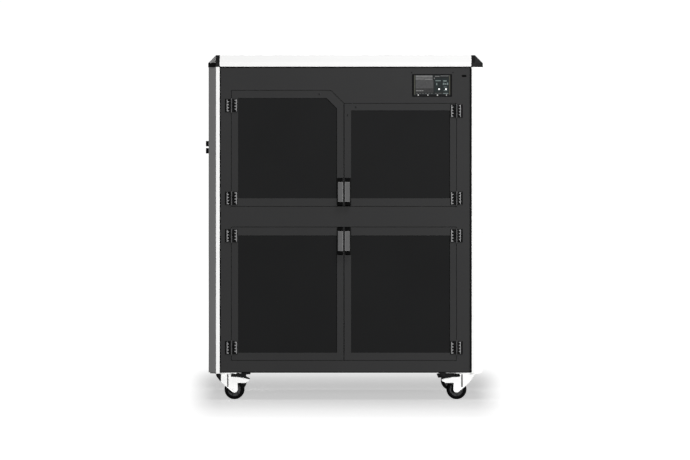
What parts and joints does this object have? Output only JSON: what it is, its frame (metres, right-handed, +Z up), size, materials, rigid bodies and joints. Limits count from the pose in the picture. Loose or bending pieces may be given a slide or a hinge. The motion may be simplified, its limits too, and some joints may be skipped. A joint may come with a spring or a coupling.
{
  "type": "enclosed 3d printer cabinet with filament dryer",
  "caption": "Cabinet on swivel casters with white corner profiles, dark fascia, hinged smoked doors over a print chamber and a filament drying chamber, and a touchscreen.",
  "frame": {"origin": "on the floor under the middle of the cabinet frame", "axes": "+Z up, the doors and the screen face -Y, +X to the right as seen from the front"},
  "size_m": [0.8585, 0.8401, 1.0645],
  "materials": {
    "white_profile": "satin white powder coat",
    "black_cap": "satin moulded",
    "dark_sheet": "fine-textured matt powder coat",
    "smoked_pane": "smoked",
    "handle": "black feet with a grey anodised bar",
    "hinge": "black",
    "screen": "glossy black",
    "connector": "black",
    "rocker": "black",
    "liner_sheet": "matt dark",
    "seal": "matt",
    "magnet": "bare",
    "caster_white": "satin white",
    "caster_plate": "zinc plated",
    "tyre": "matt black",
    "pedal": "black",
    "rail_steel": "ground",
    "belt": "ribbed",
    "motor": "black",
    "beam_alu": "anodised",
    "head_plastic": "dark",
    "bed_plate": "dark coated",
    "stand_plastic": "dark grey",
    "spool": "dark reel with wound filament",
    "heater": "dark",
    "fan": "black",
    "electronics": "circuit board and supply case"
  },
  "bodies": {
    "cabinet": {"frame_profiles": "white_profile", "corner_caps": "black_cap", "front_fascia": "dark_sheet", "side_panel_left": "dark_sheet", "side_panel_right": "dark_sheet", "rear_panel": "dark_sheet", "top_panel": "dark_sheet", "base_pan": "dark_sheet", "hinge_fixed_leaves": "hinge", "touchscreen": "screen", "usb_port": "connector", "mains_inlet": "connector", "filament_fittings": "connector", "upper_liner": "liner_sheet", "lower_liner": "liner_sheet", "door_gaskets": "seal", "magnet_catches": "magnet", "caster_plates": "caster_plate", "gantry_rails": "rail_steel", "z_guides": "rail_steel", "drive_belts": "belt", "axis_motors": "motor", "spool_stand": "stand_plastic", "dryer_heater": "heater", "electronics": "electronics"},
    "door_upper_left": {"door_frame_upper_left": "dark_sheet", "window_upper_left": "smoked_pane", "handle_upper_left": "handle", "hinge_leaves_upper_left": "hinge"},
    "door_upper_right": {"door_frame_upper_right": "dark_sheet", "window_upper_right": "smoked_pane", "handle_upper_right": "handle", "hinge_leaves_upper_right": "hinge"},
    "door_lower_left": {"door_frame_lower_left": "dark_sheet", "window_lower_left": "smoked_pane", "handle_lower_left": "handle", "hinge_leaves_lower_left": "hinge"},
    "door_lower_right": {"door_frame_lower_right": "dark_sheet", "window_lower_right": "smoked_pane", "handle_lower_right": "handle", "hinge_leaves_lower_right": "hinge"},
    "fork_front_left": {"caster_fork_front_left": "caster_white"},
    "wheel_front_left": {"caster_wheel_front_left": "tyre"},
    "fork_front_right": {"caster_fork_front_right": "caster_white"},
    "wheel_front_right": {"caster_wheel_front_right": "tyre"},
    "fork_rear_left": {"caster_fork_rear_left": "caster_white"},
    "wheel_rear_left": {"caster_wheel_rear_left": "tyre"},
    "fork_rear_right": {"caster_fork_rear_right": "caster_white"},
    "wheel_rear_right": {"caster_wheel_rear_right": "tyre"},
    "pedal_front_left": {"brake_pedal_front_left": "pedal"},
    "pedal_front_right": {"brake_pedal_front_right": "pedal"},
    "gantry_beam": {"x_beam": "beam_alu"},
    "head": {"print_head": "head_plastic"},
    "bed": {"bed_frame": "beam_alu", "build_plate": "bed_plate"},
    "lift_screw": {"z_screw": "rail_steel"},
    "reel_left": {"spool_left": "spool"},
    "reel_right": {"spool_right": "spool"},
    "fan_rotor": {"dryer_fan_rotor": "fan"},
    "rocker": {"power_rocker": "rocker"}
  },
  "joints": [
    {"name": "door_upper_left_hinge", "type": "hinge", "parent": "cabinet", "child": "door_upper_left", "pos_m": [-0.3523, -0.403, 0.765], "axis": [0, 0, -1], "range_deg": [0, 120]},
    {"name": "door_upper_right_hinge", "type": "hinge", "parent": "cabinet", "child": "door_upper_right", "pos_m": [0.3424, -0.403, 0.757], "axis": [0, 0, 1], "range_deg": [0, 120]},
    {"name": "door_lower_left_hinge", "type": "hinge", "parent": "cabinet", "child": "door_lower_left", "pos_m": [-0.3523, -0.403, 0.3337], "axis": [0, 0, -1], "range_deg": [0, 120]},
    {"name": "door_lower_right_hinge", "type": "hinge", "parent": "cabinet", "child": "door_lower_right", "pos_m": [0.3424, -0.403, 0.3337], "axis": [0, 0, 1], "range_deg": [0, 120]},
    {"name": "front_left_swivel", "type": "hinge", "parent": "cabinet", "child": "fork_front_left", "pos_m": [-0.37, -0.348, 0.07], "axis": [0, 0, 1], "continuous": true},
    {"name": "front_left_roll", "type": "hinge", "parent": "fork_front_left", "child": "wheel_front_left", "pos_m": [-0.3437, -0.348, 0.031], "axis": [0, 1, 0], "continuous": true},
    {"name": "front_left_brake", "type": "hinge", "parent": "fork_front_left", "child": "pedal_front_left", "pos_m": [-0.3475, -0.348, 0.075], "axis": [0, 1, 0], "range_deg": [0, 8]},
    {"name": "front_right_swivel", "type": "hinge", "parent": "cabinet", "child": "fork_front_right", "pos_m": [0.37, -0.348, 0.07], "axis": [0, 0, 1], "continuous": true},
    {"name": "front_right_roll", "type": "hinge", "parent": "fork_front_right", "child": "wheel_front_right", "pos_m": [0.3437, -0.348, 0.031], "axis": [0, -1, 0], "continuous": true},
    {"name": "front_right_brake", "type": "hinge", "parent": "fork_front_right", "child": "pedal_front_right", "pos_m": [0.3475, -0.348, 0.075], "axis": [0, -1, 0], "range_deg": [0, 8]},
    {"name": "rear_left_swivel", "type": "hinge", "parent": "cabinet", "child": "fork_rear_left", "pos_m": [-0.37, 0.348, 0.07], "axis": [0, 0, 1], "continuous": true},
    {"name": "rear_left_roll", "type": "hinge", "parent": "fork_rear_left", "child": "wheel_rear_left", "pos_m": [-0.3524, 0.36755, 0.031], "axis": [-0.7431, 0.6691, 0], "continuous": true},
    {"name": "rear_right_swivel", "type": "hinge", "parent": "cabinet", "child": "fork_rear_right", "pos_m": [0.37, 0.348, 0.07], "axis": [0, 0, 1], "continuous": true},
    {"name": "rear_right_roll", "type": "hinge", "parent": "fork_rear_right", "child": "wheel_rear_right", "pos_m": [0.3437, 0.348, 0.031], "axis": [0, -1, 0], "continuous": true},
    {"name": "gantry_y", "type": "slide", "parent": "cabinet", "child": "gantry_beam", "axis": [0, 1, 0], "range_m": [-0.16, 0.16]},
    {"name": "head_x", "type": "slide", "parent": "gantry_beam", "child": "head", "axis": [1, 0, 0], "range_m": [-0.24, 0.24]},
    {"name": "bed_lift", "type": "slide", "parent": "cabinet", "child": "bed", "axis": [0, 0, 1], "range_m": [-0.085, 0.125]},
    {"name": "screw_spin", "type": "hinge", "parent": "cabinet", "child": "lift_screw", "pos_m": [0, 0.27, 0.8], "axis": [0, 0, 1], "continuous": true},
    {"name": "reel_left_spin", "type": "hinge", "parent": "cabinet", "child": "reel_left", "pos_m": [-0.18, -0.105, 0.3], "axis": [0, 1, 0], "continuous": true},
    {"name": "reel_right_spin", "type": "hinge", "parent": "cabinet", "child": "reel_right", "pos_m": [0.18, -0.105, 0.3], "axis": [0, 1, 0], "continuous": true},
    {"name": "fan_spin", "type": "hinge", "parent": "cabinet", "child": "fan_rotor", "pos_m": [0, 0.214, 0.172], "axis": [0, 1, 0], "continuous": true},
    {"name": "rocker_tilt", "type": "hinge", "parent": "cabinet", "child": "rocker", "pos_m": [0.3, 0.394, 0.214], "axis": [1, 0, 0], "range_deg": [0, 10]}
  ],
  "couplings": [
    {"joint": "screw_spin", "follows": "bed_lift", "rad_per_m": 785.4}
  ]
}
